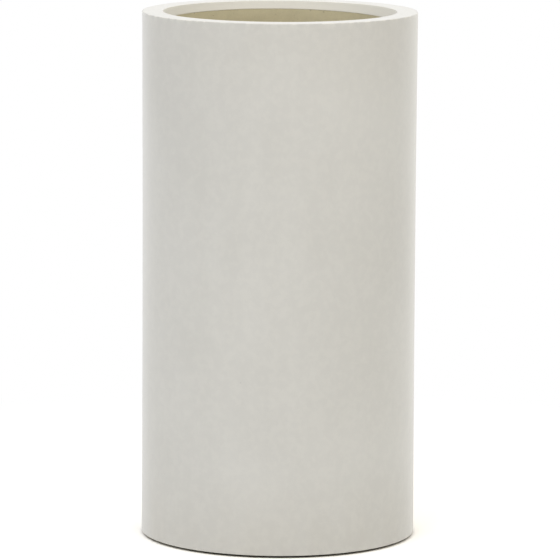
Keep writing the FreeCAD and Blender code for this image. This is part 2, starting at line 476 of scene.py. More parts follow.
@dataclass(frozen=True)
class MouldedFinish:
    """Moulded rubber or plastic with a fine spark texture, dusty patches and paler rubbed edges."""

    name: str
    deep: Colour
    faded: Colour
    # colour of the dusty patches and the rubbed edges
    dust: Colour
    dust_share: float
    texture: Grain
    relief: float
    roughness: Span
    rubbed_share: float = 0.35
    patches: Grain = Grain(0.011, 4.0, 0.6)
    patch_range: Span = (0.35, 0.7)
    dust_range: Span = (0.22, 0.42)

    def material(self) -> bpy.types.Material:
        """Build the moulded piece's material.

        Returns:
            The material, patterned by place and by the mesh's edges.
        """
        sheet = ShaderSheet(self.name)
        patches = sheet.noise(sheet.place, self.patches)
        texture = sheet.noise(sheet.place, self.texture)
        colour = sheet.mix(sheet.ramp(patches, *self.patch_range), self.deep, self.faded)
        rubbed = sheet.math("MULTIPLY", sheet.mark(Mark.EDGE), self.rubbed_share)
        caught = sheet.math("MULTIPLY", patches, texture)
        for share in (rubbed, sheet.ramp(caught, *self.dust_range, 0.0, self.dust_share)):
            colour = sheet.mix(share, colour, self.dust)
        sheet.bump(texture, self.relief)
        return sheet.finish(colour, sheet.ramp(patches, *NOISE_SPAN, *self.roughness))


RUBBER = MouldedFinish(
    name="black rubber",
    deep=(0.020, 0.020, 0.021),
    faded=(0.036, 0.035, 0.034),
    dust=(0.150, 0.138, 0.108),
    dust_share=0.35,
    texture=Grain(0.6 * MM, 1.0),
    relief=0.05 * MM,
    roughness=(0.55, 0.78),
)

PLASTIC = MouldedFinish(
    name="grey plastic",
    deep=(0.135, 0.137, 0.140),
    faded=(0.180, 0.181, 0.180),
    dust=(0.330, 0.305, 0.235),
    dust_share=0.45,
    texture=Grain(0.5 * MM, 1.0),
    relief=0.03 * MM,
    roughness=(0.36, 0.52),
)


@dataclass
class Outline:
    """Half section of a turned piece, traced clockwise with the axis on its left.

    Give is the share of the hand-made unevenness that a point takes, and drop the share by which it
    follows the coat's wavering lower edge.
    """

    SHORT_RUN = 4.0

    closed: bool = True
    guard: float = 0.5 * MM
    corner_steps: int = 8
    points: list[Span] = field(default_factory=list)
    give: list[float] = field(default_factory=list)
    drop: list[float] = field(default_factory=list)

    def at(self, radius: float, height: float, give: float = 0.0, drop: float = 0.0) -> None:
        """Put down one point.

        Args:
            radius: Distance from the axis.
            height: Height above the ground.
            give: Share of the unevenness.
            drop: Share of the drop.
        """
        self.points.append((radius, height))
        self.give.append(give)
        self.drop.append(drop)

    def line(self, radius: float, height: float, step: float = 1.0, give: float | None = None,
             drop: float = 0.0) -> None:
        """Run straight to a point, with a row close to each end so that the shading stays flat.

        A run shorter than a few of those guards has none.

        Args:
            radius: Distance of the end from the axis.
            height: Height of the end.
            step: Longest distance between rows.
            give: Share of the unevenness at the end, the last point's if left out.
            drop: Share of the drop at the end.
        """
        start, end = Vector(self.points[-1]), Vector((radius, height))
        first_give, first_drop = self.give[-1], self.drop[-1]
        last_give = first_give if give is None else give
        length = (end - start).length
        margin = self.guard / length if length > self.SHORT_RUN * self.guard else 0.0
        rows = max(1, math.ceil(length / step))
        shares = [margin + (1.0 - 2.0 * margin) * row / rows for row in range(rows + 1)]
        for share in [s for s in shares if 0.0 < s < 1.0] + [1.0]:
            give_here = first_give + (last_give - first_give) * share
            self.at(*start.lerp(end, share), give_here, first_drop + (drop - first_drop) * share)

    def corner(self, radius: float, height: float, leaving: Leaving) -> None:
        """Turn a quarter round to a point, keeping the last point's give and drop.

        Args:
            radius: Distance of the end from the axis.
            height: Height of the end.
            leaving: Direction in which the corner is entered.
        """
        start_radius, start_height = self.points[-1]
        for step in range(1, self.corner_steps + 1):
            turn = math.pi / 2.0 * step / self.corner_steps
            early, late = math.sin(turn), 1.0 - math.cos(turn)
            along, up = (early, late) if leaving is Leaving.OUTWARD else (late, early)
            here = start_radius + (radius - start_radius) * along
            self.at(here, start_height + (height - start_height) * up, self.give[-1], self.drop[-1])

    def joined(self) -> "Outline":
        """Take off the closing point, which repeats the first one.

        Returns:
            This outline.
        """
        for values in (self.points, self.give, self.drop):
            values.pop()
        return self

    def mesh(self, name: str) -> bpy.types.Mesh:
        """Draw the outline as edges in the XZ plane.

        Args:
            name: The mesh's name.

        Returns:
            A mesh with the point attributes give and drop.
        """
        count = len(self.points)
        edges = [(i, (i + 1) % count) for i in range(count if self.closed else count - 1)]
        mesh = bpy.data.meshes.new(name)
        mesh.from_pydata([(radius, 0.0, height) for radius, height in self.points], edges, [])
        for mark, values in ((Mark.GIVE, self.give), (Mark.DROP, self.drop)):
            attribute = mesh.attributes.new(mark.value, "FLOAT", "POINT")
            attribute.data.foreach_set("value", values)
        return mesh


class ShapeTree:
    """A Geometry Nodes tree with named inputs, which reshapes the mesh that it is given."""

    SOCKETS = {float: "NodeSocketFloat", int: "NodeSocketInt", bpy.types.Material: "NodeSocketMaterial"}

    def __init__(self, name: str, inputs: dict[str, type]) -> None:
        """Start the tree.

        Args:
            name: The tree's name.
            inputs: Kind of each named input.
        """
        tree = bpy.data.node_groups.new(name, "GeometryNodeTree")
        tree.interface.new_socket("Geometry", in_out="INPUT", socket_type="NodeSocketGeometry")
        tree.interface.new_socket("Geometry", in_out="OUTPUT", socket_type="NodeSocketGeometry")
        self.identifiers = {}
        for label, kind in {**inputs, "Material": bpy.types.Material}.items():
            socket = tree.interface.new_socket(label, in_out="INPUT", socket_type=self.SOCKETS[kind])
            self.identifiers[label] = socket.identifier
        self.sheet = NodeSheet(tree)
        self.inputs = self.sheet.add("NodeGroupInput").outputs
        self.build()

    def build(self) -> None:
        """Lay out the tree's nodes."""
        raise NotImplementedError

    def end(self, geometry: Socket) -> None:
        """Realize the result, give it its material and pass it out.

        Args:
            geometry: The finished geometry's socket.
        """
        real = self.sheet.out("GeometryNodeRealizeInstances", {"Geometry": geometry})
        inputs = {"Geometry": real, "Material": self.inputs["Material"]}
        dressed = self.sheet.out("GeometryNodeSetMaterial", inputs)
        self.sheet.add("NodeGroupOutput", {0: dressed})

    def moved(self, geometry: Socket, offset: Socket) -> Socket:
        """Shift each point of a mesh by its own offset."""
        return self.sheet.out("GeometryNodeSetPosition", {"Geometry": geometry, "Offset": offset})

    def stored(self, geometry: Socket, mark: Mark, value: Socket) -> Socket:
        """Keep a number on each point of a mesh."""
        inputs = {"Geometry": geometry, "Name": mark.value, "Value": value}
        return self.sheet.out("GeometryNodeStoreNamedAttribute", inputs, data_type="FLOAT", domain="POINT")

    def put_on(self, carrier: bpy.types.Object, values: dict[str, object]) -> None:
        """Add the tree to an object as a modifier.

        Args:
            carrier: The object to reshape.
            values: Value of each named input.
        """
        modifier = carrier.modifiers.new(self.sheet.tree.name, "NODES")
        modifier.node_group = self.sheet.tree
        for label, value in values.items():
            modifier[self.identifiers[label]] = value


class TurningTree(ShapeTree):
    """Turns a half section round the Z axis and makes its skin slightly uneven, inwards only."""

    PATH_RADIUS = 1.0
    WELD = 0.002 * MM
    RAGGED_RADIUS = 0.15
    RAGGED_DETAIL = 4.0
    EDGE_ANGLE = math.radians(5.0)
    EDGE_BLUR = 4
    ARCH_SCALE = 4.0

    def __init__(self) -> None:
        """Start the tree with its sizes as inputs."""
        sizes = ("Wander", "Wander Size", "Ripple", "Ripple Size", "Waist", "Waist Span", "Side Drop",
                 "Right Drop", "Ragged Drop", "Ragged Size", "Seed")
        super().__init__("turned piece", {"Segments": int, **{size: float for size in sizes}})

    def build(self) -> None:
        """Sweep the section round a circle, sink the skin, drop the lower edge and mark the edges."""
        sheet = self.sheet
        laid = {"Geometry": self.inputs["Geometry"], "Translation": (-self.PATH_RADIUS, 0.0, 0.0),
                "Rotation": Euler((math.pi / 2.0, 0.0, 0.0))}
        section = sheet.out("GeometryNodeTransform", laid)
        profile = sheet.out("GeometryNodeMeshToCurve", {"Mesh": section})
        around = {"Resolution": self.inputs["Segments"], "Radius": self.PATH_RADIUS}
        path = sheet.out("GeometryNodeCurvePrimitiveCircle", around)
        swept = sheet.out("GeometryNodeCurveToMesh", {"Curve": path, "Profile Curve": profile})
        solid = sheet.out("GeometryNodeMergeByDistance", {"Geometry": swept, "Distance": self.WELD})
        cut = self.moved(self.moved(solid, self.sinking()), self.dropping())
        marked = self.stored(cut, Mark.EDGE, self.edge())
        self.end(sheet.out("GeometryNodeSetShadeSmooth", {"Geometry": marked}))

    def sinking(self) -> Socket:
        """Sink the skin along its normal, by a slight waist, slow hollows and finer ripples.

        Returns:
            The offset's socket.
        """
        sheet = self.sheet
        place = sheet.out("GeometryNodeInputPosition")
        seed = self.inputs["Seed"]
        wander = sheet.noise(place, Grain(self.inputs["Wander Size"]), seed)
        ripple = sheet.noise(place, Grain(self.inputs["Ripple Size"]), seed)
        up = sheet.add("ShaderNodeSeparateXYZ", {0: place}).outputs["Z"]
        rise = sheet.math("DIVIDE", up, self.inputs["Waist Span"])
        arch = sheet.math("MULTIPLY", rise, sheet.math("SUBTRACT", 1.0, rise))
        arch = sheet.math("MULTIPLY", arch, self.ARCH_SCALE)
        most = tuple(self.inputs[size] for size in ("Ripple", "Wander", "Waist"))
        depth = sheet.weighted((ripple, wander, arch), most)
        depth = sheet.math("MULTIPLY", depth, sheet.attribute(Mark.GIVE))
        normal = sheet.out("GeometryNodeInputNormal")
        return sheet.scaled(normal, sheet.math("MULTIPLY", depth, -1.0))

    def dropping(self) -> Socket:
        """Drop the lower edge, most at the two sides, a little more on the right, and ragged.

        Returns:
            The offset's socket.
        """
        sheet = self.sheet
        place = sheet.out("GeometryNodeInputPosition")
        outward = {0: sheet.flattened(place)}
        unit = sheet.out("ShaderNodeVectorMath", outward, operation="NORMALIZE")
        across = sheet.add("ShaderNodeSeparateXYZ", {0: unit}).outputs["X"]
        sides = sheet.math("MULTIPLY", across, across)
        circle = sheet.scaled(unit, self.RAGGED_RADIUS)
        grain = Grain(self.inputs["Ragged Size"], self.RAGGED_DETAIL)
        ragged = sheet.noise(circle, grain, self.inputs["Seed"])
        most = tuple(self.inputs[size] for size in ("Side Drop", "Right Drop", "Ragged Drop"))
        fall = sheet.weighted((sides, across, ragged), most)
        fall = sheet.math("MULTIPLY", fall, sheet.attribute(Mark.DROP))
        return sheet.out("ShaderNodeCombineXYZ", {"Z": sheet.math("MULTIPLY", fall, -1.0)})

    def edge(self) -> Socket:
        """Find the rounded edges.

        Returns:
            A number's socket, the share by which a point lies on one.
        """
        angle = self.sheet.add("GeometryNodeInputMeshEdgeAngle").outputs["Unsigned Angle"]
        bend = self.sheet.math("MINIMUM", self.sheet.math("DIVIDE", angle, self.EDGE_ANGLE), 1.0)
        inputs = {"Value": bend, "Iterations": self.EDGE_BLUR}
        return self.sheet.out("GeometryNodeBlurAttribute", inputs, data_type="FLOAT")


class PittingTree(ShapeTree):
    """Sinks blow holes into the points that give fully."""

    FULL_GIVE = 0.98
    FLAT_SHARE = 0.25

    def __init__(self) -> None:
        """Start the tree with its sizes as inputs."""
        sizes = ("Spacing", "Density", "Least Radius", "Most Radius", "Depth Share")
        super().__init__("blow holes", {**{size: float for size in sizes}, "Seed": int})

    def build(self) -> None:
        """Scatter the holes, then press in each point by its place in the nearest one."""
        sheet, inputs = self.sheet, self.inputs
        mesh = inputs["Geometry"]
        open_skin = sheet.math("GREATER_THAN", sheet.attribute(Mark.GIVE), self.FULL_GIVE)
        scatter = {"Mesh": mesh, "Selection": open_skin, "Distance Min": inputs["Spacing"],
                   "Density Max": inputs["Density"], "Seed": inputs["Seed"]}
        holes = sheet.add("GeometryNodeDistributePointsOnFaces", scatter,
                          distribute_method="POISSON").outputs["Points"]
        spread = {2: inputs["Least Radius"], 3: inputs["Most Radius"], "Seed": inputs["Seed"]}
        radii = sheet.add("FunctionNodeRandomValue", spread, data_type="FLOAT").outputs[1]
        nearest = sheet.out("GeometryNodeSampleNearest", {"Geometry": holes}, domain="POINT")
        sampled = {"Geometry": holes, "Value": radii, "Index": nearest}
        radius = sheet.out("GeometryNodeSampleIndex", sampled, data_type="FLOAT", domain="POINT")
        near = sheet.add("GeometryNodeProximity", {"Geometry": holes}, target_element="POINTS")
        share = sheet.math("DIVIDE", near.outputs["Distance"], radius)
        marked = self.stored(mesh, Mark.PIT, sheet.ramp(share, self.FLAT_SHARE, 1.0, 1.0, 0.0))
        depth = sheet.math("MULTIPLY", sheet.attribute(Mark.PIT), inputs["Depth Share"])
        depth = sheet.math("MULTIPLY", sheet.math("MULTIPLY", depth, radius), -1.0)
        normal = sheet.out("GeometryNodeInputNormal")
        self.end(self.moved(marked, sheet.scaled(normal, depth)))


class RingTree(ShapeTree):
    """Repeats a piece evenly round the Z axis."""

    def __init__(self) -> None:
        """Start the tree with its sizes as inputs."""
        super().__init__("ring of pieces", {"Count": int, "Radius": float, "First Angle": float})

    def build(self) -> None:
        """Set a copy on each corner of a circle that is turned to the first angle."""
        sheet, inputs = self.sheet, self.inputs
        corners = {"Vertices": inputs["Count"], "Radius": inputs["Radius"]}
        circle = sheet.out("GeometryNodeMeshCircle", corners)
        turn = sheet.out("ShaderNodeCombineXYZ", {"Z": inputs["First Angle"]})
        places = sheet.out("GeometryNodeTransform", {"Geometry": circle, "Rotation": turn})
        copies = {"Points": places, "Instance": inputs["Geometry"]}
        self.end(sheet.out("GeometryNodeInstanceOnPoints", copies))


@dataclass(frozen=True)
class Unevenness:
    """Hand-made unevenness of a turned skin, and the fall of the coat's lower edge."""

    wander: float = 0.0
    wander_size: float = 0.14
    ripple: float = 0.0
    ripple_size: float = 0.02
    waist: float = 0.0
    waist_span: float = 0.7
    side_drop: float = 0.0
    right_drop: float = 0.0
    ragged_drop: float = 0.0
    ragged_size: float = 0.03
    seed: float = 1.0

    def inputs(self) -> dict[str, float]:
        """Values for the turning tree's inputs, by their names."""
        return {name.replace("_", " ").title(): value for name, value in vars(self).items()}


class Workshop:
    """Turns outlines into finished pieces and hands them to the frame."""

    def __init__(self) -> None:
        """Build the three shape trees once."""
        self.turning = TurningTree()
        self.pitting = PittingTree()
        self.ring = RingTree()

    def blank(self, name: str, outline: Outline, segments: int, material: bpy.types.Material,
              skin: Unevenness = Unevenness()) -> bpy.types.Object:
        """Start a piece: an object that holds its section and turns it.

        Args:
            name: The piece's name.
            outline: The half section.
            segments: Number of faces round the axis.
            material: The piece's finish.
            skin: Unevenness of its skin.

        Returns:
            The object, with the turning tree as a live modifier.
        """
        carrier = bpy.data.objects.new(name, outline.mesh(name))
        bpy.context.scene.collection.objects.link(carrier)
        self.turning.put_on(carrier, {"Segments": segments, "Material": material, **skin.inputs()})
        return carrier

    def complete(self, piece: bpy.types.Object, nodes: list[str],
                 body: Body = Body.PLANTER) -> None:
        """Make the piece a plain mesh and give it its place in the frame.

        Args:
            piece: The object with its live shape trees.
            nodes: Solids that the piece stands for.
            body: Body that it rides on.
        """
        graph = bpy.context.evaluated_depsgraph_get()
        mesh = bpy.data.meshes.new_from_object(piece.evaluated_get(graph), depsgraph=graph)
        piece.modifiers.clear()
        piece.data = mesh
        mesh.name = piece.name
        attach(piece, body.value)
        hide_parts(*nodes)
        LOG.info("%s: %d faces on %s, in place of %s", piece.name, len(mesh.polygons), body.value,
                 ", ".join(nodes))


@dataclass
class Vessel:
    """The planter's shell: a thick bare casting and the white coat over its outside and rim."""

    coat_thickness: float
    outer_radius: float
    mouth_radius: float
    base: float
    top: float
    floor_top: float
    seat_radius: float
    seat_flange_radius: float
    seat_shoulder: float
    rim_edge: float = 1.2 * MM
    core_edge: float = 0.5 * MM
    ground_edge: float = 1.0 * MM
    return_depth: float = 11.4 * MM
    nose_depth: float = 0.6 * MM
    nose_height: float = 1.2 * MM
    foot_wall: float = 33.0 * MM
    cove: float = 25.0 * MM
    draft_start: float = 12.0 * MM
    coat_step: float = 4.0 * MM
    return_step: float = 1.425 * MM
    wall_step: float = 3.4 * MM
    floor_step: float = 5.0 * MM
    foot_step: float = 20.0 * MM
    calm_length: float = 45.0 * MM
    segments: int = 360
    coat_skin: Unevenness = Unevenness(
        wander=0.35 * MM, wander_size=0.20, ripple=0.10 * MM, ripple_size=0.022, waist=0.95 * MM,
        side_drop=3.05 * MM, right_drop=0.75 * MM, ragged_drop=0.5 * MM, seed=3.0)
    casting_skin: Unevenness = replace(
        coat_skin, wander=1.0 * MM, wander_size=0.11, ripple=0.35 * MM, ripple_size=0.014, waist=0.0)
    hole_spacing: float = 24.0 * MM
    hole_density: float = 160.0
    hole_radii: Span = (3.0 * MM, 6.0 * MM)
    hole_depth_share: float = 0.22
    hole_seed: int = 5

    @classmethod
    def from_frame(cls, sleeve_wall: float, flange_thickness: float) -> "Vessel":
        """Read the shell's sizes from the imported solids.

        Args:
            sleeve_wall: Wall of the drain sleeve.
            flange_thickness: Thickness of the sleeve's flange.

        Returns:
            The shell.
        """
        coat_low, coat_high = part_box("face_coat")
        casting_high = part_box("planter_body")[1]
        sleeve_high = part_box("drain_sleeve")[1]
        mouth = next(mount for mount in frame["record"]["mounts"] if mount["name"] == "mouth")
        return cls(
            coat_thickness=coat_high.x - casting_high.x,
            outer_radius=coat_high.x,
            mouth_radius=mouth["dims"]["r_mm"] * MM,
            base=coat_low.z,
            top=coat_high.z,
            floor_top=sleeve_high.z,
            seat_radius=DrainFitting.BORE_RADIUS + sleeve_wall,
            seat_flange_radius=sleeve_high.x,
            seat_shoulder=sleeve_high.z - flange_thickness,
        )

    def coat_outline(self) -> Outline:
        """Trace the coat: over the rim, down the outside, up its back and round its end in the mouth.

        Returns:
            The half section.
        """
        back, mouth_back = self.outer_radius - self.coat_thickness, self.mouth_radius + self.coat_thickness
        under = self.top - self.coat_thickness
        edge = self.core_edge
        end = self.top - self.return_depth
        outline = Outline()
        outline.at(self.mouth_radius + self.rim_edge, self.top, give=1.0)
        outline.line(self.outer_radius - self.rim_edge, self.top, self.coat_step)
        outline.corner(self.outer_radius, self.top - self.rim_edge, Leaving.OUTWARD)
        outline.line(self.outer_radius, self.base + self.ground_edge, self.coat_step)
        outline.corner(self.outer_radius - self.ground_edge, self.base, Leaving.UPRIGHT)
        outline.at(back, self.base)
        outline.line(back, under - edge)
        outline.corner(back - edge, under, Leaving.UPRIGHT)
        outline.line(mouth_back + edge, under)
        outline.corner(mouth_back, under - edge, Leaving.OUTWARD)
        outline.line(mouth_back, end, drop=1.0)
        outline.at(self.mouth_radius + self.nose_depth, end, drop=1.0)
        outline.corner(self.mouth_radius, end + self.nose_height, Leaving.OUTWARD)
        outline.line(self.mouth_radius, self.top - self.rim_edge, self.return_step, give=1.0)
        outline.corner(self.mouth_radius + self.rim_edge, self.top, Leaving.UPRIGHT)
        return outline.joined()

    def casting_outline(self) -> Outline:
        """Trace the casting: over its top, down its outside, across the foot, up the seat and the inside.

        Returns:
            The half section.
        """
        outer, mouth = self.outer_radius - self.coat_thickness, self.mouth_radius + self.coat_thickness
        foot = self.outer_radius - self.foot_wall
        top = self.top - self.coat_thickness
        edge = self.core_edge
        cove_end = self.floor_top + self.cove
        draft_top = self.top - self.draft_start
        end, lip = self.top - self.return_depth, self.mouth_radius + self.nose_depth
        rise = (cove_end - self.floor_top) / (draft_top - self.floor_top)
        wall_low = foot + (mouth - foot) * rise
        calm = self.calm_length / (draft_top - cove_end)
        outline = Outline()
        outline.at(mouth + edge, top)
        outline.line(outer - edge, top)
        outline.corner(outer, top - edge, Leaving.OUTWARD)
        outline.line(outer, self.base)
        outline.line(self.seat_radius, self.base, self.foot_step)
        outline.line(self.seat_radius, self.seat_shoulder)
        outline.line(self.seat_flange_radius, self.seat_shoulder)
        outline.line(self.seat_flange_radius, self.floor_top)
        outline.line(self.seat_flange_radius + self.floor_step, self.floor_top, give=1.0)
        outline.line(wall_low - self.cove, self.floor_top, self.floor_step)
        outline.corner(wall_low, cove_end, Leaving.OUTWARD)
        calm_radius = wall_low + (mouth - wall_low) * (1.0 - calm)
        outline.line(calm_radius, draft_top - self.calm_length, self.wall_step)
        outline.line(lip, end, self.wall_step, give=0.0, drop=1.0)
        outline.line(mouth, end, drop=1.0)
        outline.line(mouth, top - edge)
        outline.corner(mouth + edge, top, Leaving.UPRIGHT)
        return outline.joined()

    def build(self, workshop: Workshop) -> None:
        """Make the coat and the casting.

        Args:
            workshop: Where pieces are turned.
        """
        finish = CoatFinish(self.outer_radius, self.mouth_radius, self.top)
        coat = workshop.blank("face_coat_skin", self.coat_outline(), self.segments, finish.material(),
                              self.coat_skin)
        workshop.complete(coat, ["face_coat"])

        concrete = ConcreteFinish().material()
        casting = workshop.blank("concrete_casting", self.casting_outline(), self.segments, concrete,
                                 self.casting_skin)
        least, most = self.hole_radii
        workshop.pitting.put_on(casting, {
            "Spacing": self.hole_spacing, "Density": self.hole_density, "Least Radius": least,
            "Most Radius": most, "Depth Share": self.hole_depth_share, "Seed": self.hole_seed,
            "Material": concrete})
        workshop.complete(casting, ["planter_body"])


@dataclass
class DrainFitting:
    """Plastic sleeve cast into the floor, and the ribbed rubber plug that stops it."""

    BORE_RADIUS = 12.5 * MM

    wall: float = 2.5 * MM
    flange_thickness: float = 3.0 * MM
    lead_in: float = 0.8 * MM
    flange_edge: float = 0.5 * MM
    ring_radius: float = 20.0 * MM
    ring_width: float = 1.6 * MM
    ring_height: float = 0.3 * MM
    head_height: float = 6.0 * MM
    head_edge: float = 3.5 * MM
    dish_radius: float = 11.0 * MM
    dish_depth: float = 0.9 * MM
    dish_slope: float = 1.8 * MM
    stem_radius: float = 9.5 * MM
    tip_radius: float = 7.5 * MM
    rib_start: float = 4.0 * MM
    rib_thickness: float = 1.4 * MM
    rib_bevel: float = 2.4 * MM
    rib_pitch: float = 6.5 * MM
    rib_count: int = 3
    rib_gap: float = 0.25 * MM
    soft_edge: float = 0.4 * MM
    segments: int = 128

    def sleeve_outline(self) -> Outline:
        """Trace the sleeve: a flange with a lead-in, over a plain tube.

        Returns:
            The half section.
        """
        low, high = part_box("drain_sleeve")
        flange, tube = high.x, self.BORE_RADIUS + self.wall
        shoulder = high.z - self.flange_thickness
        groove_in = self.ring_radius - self.ring_width / 2.0
        groove_out = self.ring_radius + self.ring_width / 2.0
        outline = Outline(guard=FINE_GUARD, corner_steps=5)
        outline.at(self.BORE_RADIUS + self.lead_in, high.z)
        outline.line(groove_in, high.z)
        outline.corner(groove_in + self.ring_height, high.z - self.ring_height, Leaving.OUTWARD)
        outline.line(groove_out - self.ring_height, high.z - self.ring_height)
        outline.corner(groove_out, high.z, Leaving.UPRIGHT)
        outline.line(flange - self.flange_edge, high.z)
        outline.corner(flange, high.z - self.flange_edge, Leaving.OUTWARD)
        outline.line(flange, shoulder)
        outline.line(tube, shoulder)
        outline.line(tube, low.z)
        outline.line(self.BORE_RADIUS, low.z)
        outline.line(self.BORE_RADIUS, high.z - self.lead_in)
        outline.corner(self.BORE_RADIUS + self.lead_in, high.z, Leaving.UPRIGHT)
        return outline.joined()

    def plug_outline(self) -> Outline:
        """Trace the plug: a dished head over a tapering stem with bevelled ribs.

        Returns:
            The half section.
        """
        low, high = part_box("drain_plug")
        under = high.z - self.head_height
        rib_radius = self.BORE_RADIUS - self.rib_gap
        outline = Outline(closed=False, guard=FINE_GUARD, corner_steps=6)
        outline.at(0.0, high.z - self.dish_depth)
        outline.line(self.dish_radius - self.dish_slope, high.z - self.dish_depth)
        outline.corner(self.dish_radius, high.z, Leaving.OUTWARD)
        outline.line(high.x - self.head_edge, high.z)
        outline.corner(high.x, high.z - self.head_edge, Leaving.OUTWARD)
        outline.line(high.x, under + self.soft_edge)
        outline.corner(high.x - self.soft_edge, under, Leaving.UPRIGHT)
        outline.line(self.stem_radius, under)
        for rib in range(self.rib_count):
            rib_top = under - self.rib_start - rib * self.rib_pitch
            self.add_rib(outline, rib_top, rib_radius, under - low.z, under)
        outline.line(self.tip_radius, low.z + self.soft_edge)
        outline.corner(self.tip_radius - self.soft_edge, low.z, Leaving.UPRIGHT)
        outline.line(0.0, low.z)
        return outline

    def add_rib(self, outline: Outline, top: float, radius: float, length: float, under: float) -> None:
        """Trace one rib: a flat upper face, a short rim and a bevel that leads in.

        Args:
            outline: The plug's section so far.
            top: Height of the rib's upper face.
            radius: Radius of the rib's rim.
            length: Length of the stem.
            under: Height of the head's underside.
        """
        foot = top - self.rib_thickness - self.rib_bevel
        taper = (self.stem_radius - self.tip_radius) / length
        outline.line(self.stem_radius - taper * (under - top), top)
        outline.line(radius - self.soft_edge, top)
        outline.corner(radius, top - self.soft_edge, Leaving.OUTWARD)
        outline.line(radius, top - self.rib_thickness)
        outline.line(self.stem_radius - taper * (under - foot), foot)

    def build(self, workshop: Workshop) -> None:
        """Make the sleeve and the plug.

        Args:
            workshop: Where pieces are turned.
        """
        sleeve = workshop.blank("drain_sleeve_moulding", self.sleeve_outline(), self.segments,
                                PLASTIC.material())
        workshop.complete(sleeve, ["drain_sleeve"])
        plug = workshop.blank("drain_plug_moulding", self.plug_outline(), self.segments, RUBBER.material())
        workshop.complete(plug, ["drain_plug"], Body.DRAIN_PLUG)


@dataclass
class FootPads:
    """Four thin rubber pads glued under the casting, each with a grip groove in its sole."""

    edge: float = 0.8 * MM
    groove_radius: float = 9.0 * MM
    groove_width: float = 2.4 * MM
    groove_depth: float = 0.5 * MM
    segments: int = 96
    nodes: tuple[str, ...] = (
        "foot_pad_back_right", "foot_pad_back_left", "foot_pad_front_left", "foot_pad_front_right")

    def outline(self, radius: float, low: float, high: float) -> Outline:
        """Trace one pad about its own axis.

        Args:
            radius: The pad's radius.
            low: Height of its sole.
            high: Height of its glued face.

        Returns:
            The half section.
        """
        groove_out = self.groove_radius + self.groove_width / 2.0
        groove_in = self.groove_radius - self.groove_width / 2.0
        sole = low + self.groove_depth
        outline = Outline(closed=False, guard=FINE_GUARD, corner_steps=5)
        outline.at(0.0, high)
        outline.line(radius, high)
        outline.line(radius, low + self.edge)
        outline.corner(radius - self.edge, low, Leaving.UPRIGHT)
        outline.line(groove_out, low)
        outline.corner(groove_out - self.groove_depth, sole, Leaving.OUTWARD)
        outline.line(groove_in + self.groove_depth, sole)
        outline.corner(groove_in, low, Leaving.UPRIGHT)
        outline.line(0.0, low)
        return outline

    def build(self, workshop: Workshop) -> None:
        """Make the ring of pads.

        Args:
            workshop: Where pieces are turned.
        """
        low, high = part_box(self.nodes[0])
        centre = (low + high) / 2.0
        rubber = RUBBER.material()
        outline = self.outline((high.x - low.x) / 2.0, low.z, high.z)
        pads = workshop.blank("foot_pad_ring", outline, self.segments, rubber)
        workshop.ring.put_on(pads, {
            "Count": len(self.nodes), "Radius": math.hypot(centre.x, centre.y),
            "First Angle": math.atan2(centre.y, centre.x), "Material": rubber})
        workshop.complete(pads, list(self.nodes))


@dataclass(frozen=True)
class Softbox:
    """A square lamp that is aimed at a point, with its beam's spread in degrees, and isn't seen itself."""

    name: str
    place: Triple
    aim: Triple
    size: float
    power: float
    colour: Colour = (1.0, 1.0, 1.0)
    spread: float = 180.0

    def build(self) -> None:
        """Hang the lamp."""
        lamp = bpy.data.lights.new(self.name, "AREA")
        lamp.size = self.size
        lamp.energy = self.power
        lamp.spread = math.radians(self.spread)
        lamp.color = self.colour
        holder = bpy.data.objects.new(self.name, lamp)
        holder.location = self.place
        holder.rotation_euler = (Vector(self.aim) - Vector(self.place)).to_track_quat("-Z", "Y").to_euler()
        holder.visible_camera = False
        bpy.context.scene.collection.objects.link(holder)
        LOG.info("lamp %s: %.2f W", self.name, self.power)


